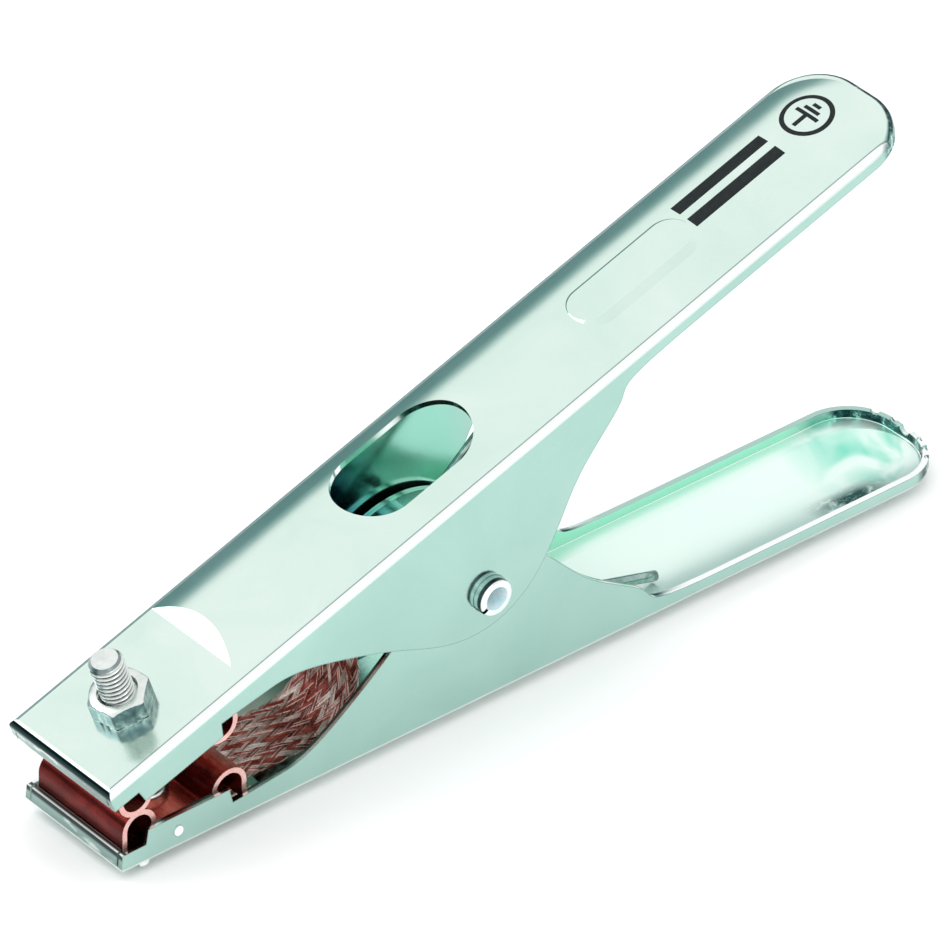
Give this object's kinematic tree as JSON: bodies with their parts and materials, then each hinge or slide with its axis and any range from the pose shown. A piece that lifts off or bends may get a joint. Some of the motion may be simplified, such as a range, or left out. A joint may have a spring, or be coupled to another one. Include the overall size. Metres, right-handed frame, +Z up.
{
  "type": "welding earth clamp",
  "caption": "Spring-loaded sheet-steel earth clamp with copper contact jaws, a braided bonding strap and a threaded cable terminal on the nose.",
  "frame": {"origin": "middle of the pivot sleeve's axis, halfway between the side walls", "axes": "+Y along the pivot axis, +X from the pivot towards the handles with the lower lever's web level, +Z up from the lower lever to the upper one"},
  "size_m": [0.2495, 0.0414, 0.107],
  "materials": {
    "plated_steel": "bright zinc plate with a faint green passivation tint",
    "copper": "formed copper strip, satin, dark red brown",
    "ferrule_copper": "pressed copper",
    "braided_copper": "woven bare and tinned copper strands",
    "bright_fastener": "bright plated",
    "sleeve_steel": "plated rolled sleeve",
    "spring_steel": "plated spring wire"
  },
  "bodies": {
    "lower": {"lower_lever": "plated_steel", "lower_jaw": "copper", "lower_braid_ferrule": "ferrule_copper", "lower_jaw_rivet": "bright_fastener", "pivot_sleeve": "sleeve_steel", "torsion_spring": "spring_steel", "braid_loop": "braided_copper"},
    "upper": {"upper_lever": "plated_steel", "upper_jaw": "copper", "upper_braid_ferrule": "ferrule_copper", "terminal_bolt": "bright_fastener", "terminal_nut": "bright_fastener"}
  },
  "joints": [
    {"name": "jaw_hinge", "type": "hinge", "parent": "lower", "child": "upper", "pos_m": [0, 0, 0], "axis": [0, 1, 0], "range_deg": [0, 36], "stiffness_Nm_per_rad": 8, "springref_deg": -57.3, "deforming": ["torsion_spring", "braid_loop"]}
  ]
}
